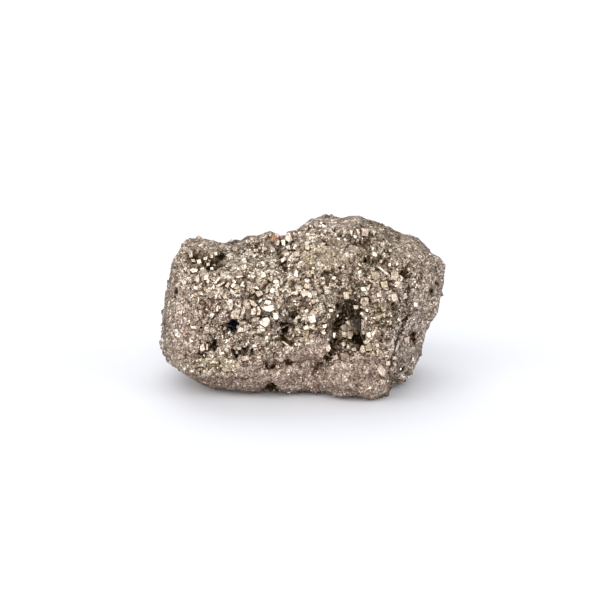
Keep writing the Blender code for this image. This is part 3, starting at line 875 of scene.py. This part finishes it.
def crystalShapes():
    # one unit crystal for each habit: cubes, a pyritohedron, a cube with blunted corners and broken grains
    rng = np.random.default_rng(2)
    signs = [(i, j, k) for i in (-1, 1) for j in (-1, 1) for k in (-1, 1)]
    cube = [Vector(s) * 0.5 for s in signs]
    slab = [Vector((x, y * 0.7, z)) for x, y, z in cube]
    wedge = [Vector((x, y * (1.1 - 0.5 * (x > 0)), z)) for x, y, z in cube]
    skewed = [Vector((x + 0.25 * y, y * 0.85, z)) for x, y, z in cube]
    roof = [Vector((0, 0.66 * j, 0.42 * k)) for j in (-1, 1) for k in (-1, 1)]
    roofs = [Vector((v[i], v[i - 1], v[i - 2])) for v in roof for i in range(3)]
    pyritohedron = [v * 0.95 for v in cube] + roofs
    blunted = [Vector([c * (0.5 - habits["cut"] * (axis == i)) * 2 for i, c in enumerate(Vector(s) * 0.5)])
               for s in signs for axis in range(3)]
    made = {"cube": cube, "slab": slab, "wedge": wedge, "skewed": skewed, "pyritohedron": pyritohedron,
            "blunted": blunted}
    for i in range(habits["chips"]):
        ring = np.sort(rng.uniform(0, 2 * math.pi, 4 + i % 3))
        top = [Vector((0.5 * math.cos(a), 0.5 * math.sin(a), 0.5)) for a in ring]
        ring = ring + rng.uniform(-0.4, 0.4)
        foot = [Vector((0.62 * math.cos(a), 0.62 * math.sin(a), -0.3)) for a in ring[::2]]
        made["chip%d" % i] = top + foot
    shelf = bpy.data.collections.new("crystalShapes")
    bpy.context.scene.collection.children.link(shelf)
    for name, corners in made.items():
        shelf.objects.link(bpy.data.objects.new(name, hullMesh(name, corners)))
    return shelf


def crystalTree(shelf, finish):
    tree = bpy.data.node_groups.new("growCrystals", "GeometryNodeTree")
    sockets = tree.interface
    sockets.new_socket("Geometry", in_out="INPUT", socket_type="NodeSocketGeometry")
    names = {}
    for name in ("Spacing", "Smallest", "Largest", "Sunk", "Tilt"):
        names[name] = sockets.new_socket(name, in_out="INPUT", socket_type="NodeSocketFloat").identifier
    names["Seed"] = sockets.new_socket("Seed", in_out="INPUT", socket_type="NodeSocketInt").identifier
    sockets.new_socket("Geometry", in_out="OUTPUT", socket_type="NodeSocketGeometry")
    given = tree.nodes.new("NodeGroupInput").outputs
    wire = Wire(tree)

    def value(name):
        return Wire(tree, given[name])

    def randomBetween(low, high, seed):
        inputs = {2: low, 3: high, "Seed": value("Seed") + seed}
        return wire.node("FunctionNodeRandomValue", {"data_type": "FLOAT"}, inputs, output=1)

    cover = wire.node("GeometryNodeInputNamedAttribute", {"data_type": "FLOAT"}, {"Name": "cover"})
    density = wire.maths("DIVIDE", sparse["crowding"], value("Spacing") * value("Spacing"))
    points = wire.node("GeometryNodeDistributePointsOnFaces", {"distribute_method": "POISSON"}, {
        "Mesh": value("Geometry"), "Distance Min": value("Spacing"), "Density Max": density,
        "Density Factor": cover, "Seed": value("Seed")})
    share = randomBetween(0.0, 1.0, 11)
    size = value("Smallest") + (value("Largest") - value("Smallest")) * share * share
    sink = points.other("Normal").vector("SCALE", size * value("Sunk") * -1.0)
    seated = wire.node("GeometryNodeSetPosition", {}, {"Geometry": points, "Offset": sink})
    shapes = wire.node("GeometryNodeCollectionInfo", {}, {
        "Collection": shelf, "Separate Children": True, "Reset Children": True})
    pick = wire.node("FunctionNodeRandomValue", {"data_type": "INT"}, {
        4: 0, 5: len(shelf.objects) - 1, "Seed": value("Seed") + 5}, output=2)
    tilt = value("Tilt")
    lean = wire.node("ShaderNodeCombineXYZ", {}, {
        0: randomBetween(tilt * -1.0, tilt, 7), 1: randomBetween(tilt * -1.0, tilt, 8),
        2: randomBetween(0.0, 2 * math.pi, 9)})
    leaning = wire.node("FunctionNodeEulerToRotation", {}, {0: lean})
    turn = wire.node("FunctionNodeRotateRotation", {"rotation_space": "LOCAL"}, {
        0: points.other("Rotation"), 1: leaning})
    crystals = wire.node("GeometryNodeInstanceOnPoints", {}, {
        "Points": seated, "Instance": shapes, "Pick Instance": True, "Instance Index": pick,
        "Rotation": turn, "Scale": size})
    toned = wire.node("GeometryNodeStoreNamedAttribute", {"data_type": "FLOAT", "domain": "INSTANCE"}, {
        "Geometry": crystals, "Name": "tone", "Value": randomBetween(0.0, 1.0, 23)})
    real = wire.node("GeometryNodeRealizeInstances", {}, {"Geometry": toned})
    finished = wire.node("GeometryNodeSetMaterial", {}, {"Geometry": real, "Material": finish})
    ending = tree.nodes.new("NodeGroupOutput")
    tree.links.new(finished.socket, ending.inputs["Geometry"])
    return tree, names


def scatterCrystals(name, seats, tree, names):
    sort = crystalSorts[name]
    mesh = seats.data.copy()
    cover = np.full(len(mesh.vertices), float(sort["cover"]["all"]))
    for field, share in sort["cover"].items():
        if field != "all":
            cover += share * readNumber(mesh, field)
    cover *= 1 - sparse["pits"] * blend(readNumber(mesh, "pitted"), *sparse["pitDepth"])
    cover *= (1 - readNumber(mesh, "taken")) * (1 - sparse["brow"] * readNumber(mesh, "brow"))
    storeNumber(mesh, "cover", np.clip(cover, 0, 1))
    piece = newObject(name, mesh)
    grow = piece.modifiers.new("grow", "NODES")
    grow.node_group = tree
    smallest, largest = sort["size"]
    settings = {"Spacing": sort["spacing"] * mm, "Smallest": smallest * mm, "Largest": largest * mm,
                "Sunk": sort["sunk"], "Tilt": math.radians(sort["tilt"]), "Seed": sort["seed"]}
    for label, value in settings.items():
        grow[names[label]] = value
    applyModifiers(piece)
    mesh = piece.data
    writePoints(mesh, np.clip(readPoints(mesh), boxLow, boxHigh))
    print(name + ":", sum(len(face.vertices) - 2 for face in mesh.polygons), "triangles")
    return piece


def setLargeCrystals(seats, finish):
    # each is a block behind its main face, which keeps its outline as the camera sees it
    rng = np.random.default_rng(largeCrystals["seed"])
    mesh = seats.data
    tree = BVHTree.FromPolygons([v.co for v in mesh.vertices], [face.vertices for face in mesh.polygons])
    toCamera = Vector(towardsCamera)
    glance = (Vector(lights["lamps"]["key"][0]).normalized() + toCamera).normalized()
    away = (Vector(largeCrystals["away"]).normalized() + toCamera).normalized()
    start = Vector(cameraPlace)
    backWidth, backDepth = largeCrystals["back"]
    tints = {name: readNumber(mesh, name) for name in ("olive", "mauve", "greyish")}
    fields = {name: [] for name in ("tone", "gap", "stained", *tints)}
    bm = bmesh.new()
    for turn, *steps in largeCrystals["faces"]:
        places = [Vector(cameraAim + (cameraRight * x + cameraUp * y) * mm) for x, y in outlineOf(steps) / 10]
        rays = [(place - start).normalized() for place in places]
        middle = sum(rays, Vector()).normalized()
        hits = [tree.ray_cast(start, ray)[0] for ray in [middle, *rays]]
        if None in hits:
            continue
        stray = Vector(rng.normal(size=3)) * math.tan(math.radians(largeCrystals["lean"]))
        stray *= largeCrystals["strays"]
        facing = away if turn < 0 else toCamera.lerp(glance, largeCrystals["turn"][turn])
        facing = (facing.normalized() + stray).normalized()
        # raised until no corner lies under the seats, within reason
        most = largeCrystals["most"] * mm
        reach = max((place - hits[0]).length for place in hits)
        raised = max((place - hits[0]).dot(facing) for place in hits) + largeCrystals["raised"] * mm
        raised = min(raised + largeCrystals["wideRaised"] * reach, most)
        if turn == -2:
            raised = most * largeCrystals["darkRaised"]
        through = hits[0] + facing * raised
        rim = [start + ray * ((through - start).dot(facing) / ray.dot(facing)) for ray in rays]
        count = len(rim)
        centre = sum(rim, Vector()) / count
        width = max((corner - centre).length for corner in rim)
        aside = centre.lerp(rim[rng.integers(count)], largeCrystals["aside"])
        share = rng.uniform(*largeCrystals["bevel"])
        rise = facing * width * rng.uniform(*largeCrystals["rise"])
        down = facing * width * backDepth
        front = [aside.lerp(corner, share) + rise for corner in rim]
        back = [centre + (corner - centre) * backWidth - down - toCamera * raised for corner in rim]
        verts = [bm.verts.new(place) for place in front + rim + back]
        bm.faces.new(verts[:count])
        bm.faces.new(verts[2 * count:][::-1])
        for ring in (0, count):
            for i in range(count):
                j = (i + 1) % count
                bm.faces.new([verts[ring + k] for k in (j, i, count + i, count + j)])
        # painted light and shade: the tone follows the crystal's turn to the light
        fields["tone"] += [rng.uniform(*largeCrystals["tone"][turn])] * count * 3
        # painted shade down the sides towards the back of each crystal
        fields["gap"] += [0.0] * count * 2 + [1.0] * count
        # stain and painted shade, by how far the crystal turns from the light
        stainShade = largeCrystals["stained"].get(turn, 0.0)
        fields["stained"] += [stainShade] * count + [stainShade * largeCrystals["stainAndShadeSides"]] * count * 2
        # its tint is that of the place it stands on, with some more olive
        under = mesh.polygons[tree.ray_cast(start, middle)[2]].vertices[0]
        tint = {name: values[under] for name, values in tints.items()}
        more = rng.uniform(*largeCrystals["olive"]) * (1 - tint["mauve"])
        tint["olive"] = max(more, tint["olive"])
        for name, value in tint.items():
            fields[name] += [value] * count * 3
    bmesh.ops.recalc_face_normals(bm, faces=bm.faces)
    made = meshFrom(bm, "largeCrystals")
    writePoints(made, np.clip(readPoints(made), boxLow, boxHigh))
    for name, values in fields.items():
        storeNumber(made, name, values)
    bluish = blend(np.array(fields["stained"]), *largeCrystals["bluish"]) * largeCrystals["bluishMost"]
    storeNumber(made, "bluish", bluish)
    made.materials.append(finish)
    print("large crystals:", len(largeCrystals["faces"]))
    return newObject("largeCrystals", made)


# Finishes
finishes = {
    "beige": (0.425, 0.33, 0.262),
    "mauve": (0.415, 0.308, 0.253),
    "olive": (0.455, 0.37, 0.235),
    "grey": (0.375, 0.307, 0.265),
    # the colour of painted highlights
    "glint": (0.93, 0.84, 0.71),
    # browns for stains and for painted shade
    "shadeAndStainDark": (0.055, 0.026, 0.006),
    "shadeAndStainBrown": (0.12, 0.08, 0.034),
    "blue": (0.018, 0.022, 0.035),
    "edge": (0.42, 0.385, 0.34),  # what grazing light is dimmed to
    "edgeShine": 0.25,
    "rainbow": [
        (0, (0.75, 0.33, 0.05)), (0.35, (0.8, 0.6, 0.15)), (0.6, (0.5, 0.12, 0.3)), (1, (0.55, 0.5, 0.6)),
    ],
    "cloud": 700.0,  # scale of the slow changes of shade
    "speck": 0.24,  # size of the finest painted sparkle, mm
    "sparkling": (0.84, 0.96),  # which specks are painted bright, as highlights,
    "speckShade": (0.2, 0.06),  # and which are painted dark, as shade
    "lively": 0.16,  # how much paler the lively parts are, a painted highlight
    "darker": 0.02,  # how much darker it is everywhere
    "glinting": (0.6, 0.92),  # which tones are painted with the highlight colour
    "striae": 0.42,  # between the painted grooves of a crystal's face, mm
    "grooveShade": (0.4, 0.78),  # painted shade of the grooves: how deep they look, and the shade beside them
    "gap": (0.76, 0.6),  # how dark the painted shade in the gaps is, and how much less where it is smooth
    # size of the little faces in mm, how far they lean, roughness from and to, share of sparkle,
    # how far a whole grain has one tone
    "massive": {"cell": 0.32, "glitter": 0.6, "roughness": (0.2, 0.5), "sparkle": 0.9, "whole": 0.6},
    "crystal": {"cell": 0.55, "glitter": 0.26, "roughness": (0.14, 0.4), "sparkle": 0.5, "whole": 0.72},
}


def pyriteFinish(name):
    made = bpy.data.materials.new(name + "Pyrite")
    made.use_nodes = True
    tree = made.node_tree
    shader = tree.nodes["Principled BSDF"]
    settings = finishes[name]
    wire = Wire(tree)

    def attribute(label):
        return wire.node("ShaderNodeAttribute", {"attribute_name": label}, output=2)

    def smallFaces(size):  # a random colour for each
        return wire.node("ShaderNodeTexVoronoi", {}, {"Vector": place, "Scale": 1 / (size * mm)}, output=1)

    place = wire.node("ShaderNodeTexCoord", output=3)
    cells = smallFaces(settings["cell"])
    cellTone = wire.node("ShaderNodeSeparateColor", {}, {"Color": cells})
    cellGloss, cellHue = cellTone.other(1), cellTone.other(2)
    cloud = wire.node("ShaderNodeTexNoise", {}, {"Vector": place, "Scale": finishes["cloud"], "Detail": 3.0})
    speck = wire.node("ShaderNodeSeparateColor", {}, {"Color": smallFaces(finishes["speck"])})
    smooth = attribute("smooth")
    tone = attribute("tone") * settings["whole"] + cellTone * (1 - settings["whole"])
    # the lively parts take a paler tone, a painted highlight
    tone = (tone + attribute("lively") * finishes["lively"] - finishes["darker"]).clamp()
    # brown stain, partly painted shade from the pits, hollows and turned-away crystals
    stained = (attribute("stained") * (cellGloss * 0.6 + 0.6) * (cloud + 0.5)).clamp()

    colour = mixColours(wire, attribute("mauve"), finishes["beige"], finishes["mauve"])
    colour = mixColours(wire, attribute("olive") * (cellHue * 0.7 + 0.4).clamp(), colour, finishes["olive"])
    # grey tint, with painted shade at the rims and top
    colour = mixColours(wire, attribute("greyish") * 0.8, colour, finishes["grey"])
    # tone and slow changes, with painted shade darkening the brow
    shade = (tone.between(0.0, 0.45) * 0.5 + 0.45 + cloud * 0.25) * (1.0 - attribute("brow") * 0.36)
    if name == "crystal":
        # painted shade of fine grooves on a crystal's faces
        deep, beside = finishes["grooveShade"]
        grooveShade = wire.node("ShaderNodeTexWave", {}, {
            "Vector": place, "Scale": 0.314 / (finishes["striae"] * mm), "Distortion": 7.0, "Detail": 2.0,
            "Detail Scale": 0.6}, output=1)
        shade = shade * (grooveShade * deep + beside)
    colour = colour.vector("SCALE", shade)
    # painted highlights: pale tones and bright specks take the glint colour
    colour = mixColours(wire, tone.between(*finishes["glinting"]), colour, finishes["glint"])
    sparkle = speck.between(*finishes["sparkling"]) * (1.0 - smooth * 0.55)
    colour = mixColours(wire, sparkle * settings["sparkle"], colour, finishes["glint"])
    # painted shade: dark specks
    speckShade = speck.between(*finishes["speckShade"]) * settings["sparkle"] * 0.5
    colour = mixColours(wire, speckShade, colour, finishes["shadeAndStainBrown"])
    brown = mixColours(wire, tone, finishes["shadeAndStainDark"], finishes["shadeAndStainBrown"])
    if name == "crystal":
        stained = stained * (1.0 - tone.between(0.3, 0.6) * 0.85)
    colour = mixColours(wire, stained, colour, brown)
    # painted shade: the gaps, pits and foot darken towards dark brown
    dark, less = finishes["gap"]
    colour = mixColours(wire, attribute("gap") * (dark - smooth * less), colour, finishes["shadeAndStainDark"])
    colour = mixColours(wire, attribute("bluish"), colour, finishes["blue"])
    rainbow = wire.node("ShaderNodeValToRGB", {"stops": finishes["rainbow"]}, {"Fac": cellTone})
    colour = mixColours(wire, attribute("tarnished") * 0.8, colour, rainbow)
    low, high = settings["roughness"]
    roughness = (cellGloss * (high - low) + low + stained * 0.2 - tone.between(0.7, 1.0) * 0.1).clamp()
    lean = cells.vector("SUBTRACT", (0.5, 0.5, 0.5)).vector("SCALE", settings["glitter"] * 2)
    normal = wire.node("ShaderNodeNewGeometry", output=1).vector("ADD", lean).vector("NORMALIZE")
    metallic = 0.95 - stained * 0.2
    shader.inputs["Specular Tint"].default_value = (*finishes["edge"], 1)
    shader.inputs["Specular IOR Level"].default_value = finishes["edgeShine"]
    fed = {"Base Color": colour, "Roughness": roughness, "Metallic": metallic, "Normal": normal}
    for socket, feed in fed.items():
        tree.links.new(feed.socket, shader.inputs[socket])
    return made


seats = seatSurface()
print("seats:", len(seats.data.polygons), "faces")
massivePiece = makeMassive(seats)
massivePiece.data.materials.clear()
massivePiece.data.materials.append(pyriteFinish("massive"))
crystalFinish = pyriteFinish("crystal")
shelf = crystalShapes()
tree, names = crystalTree(shelf, crystalFinish)
pieces = [massivePiece]
for name in crystalSorts:
    pieces.append(scatterCrystals(name, seats, tree, names))
pieces.append(setLargeCrystals(seats, crystalFinish))
for shape in list(shelf.objects):
    bpy.data.objects.remove(shape)
bpy.data.collections.remove(shelf)
bpy.data.objects.remove(seats)

for piece in pieces:
    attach(piece, "root")
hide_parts(nuggetNode)
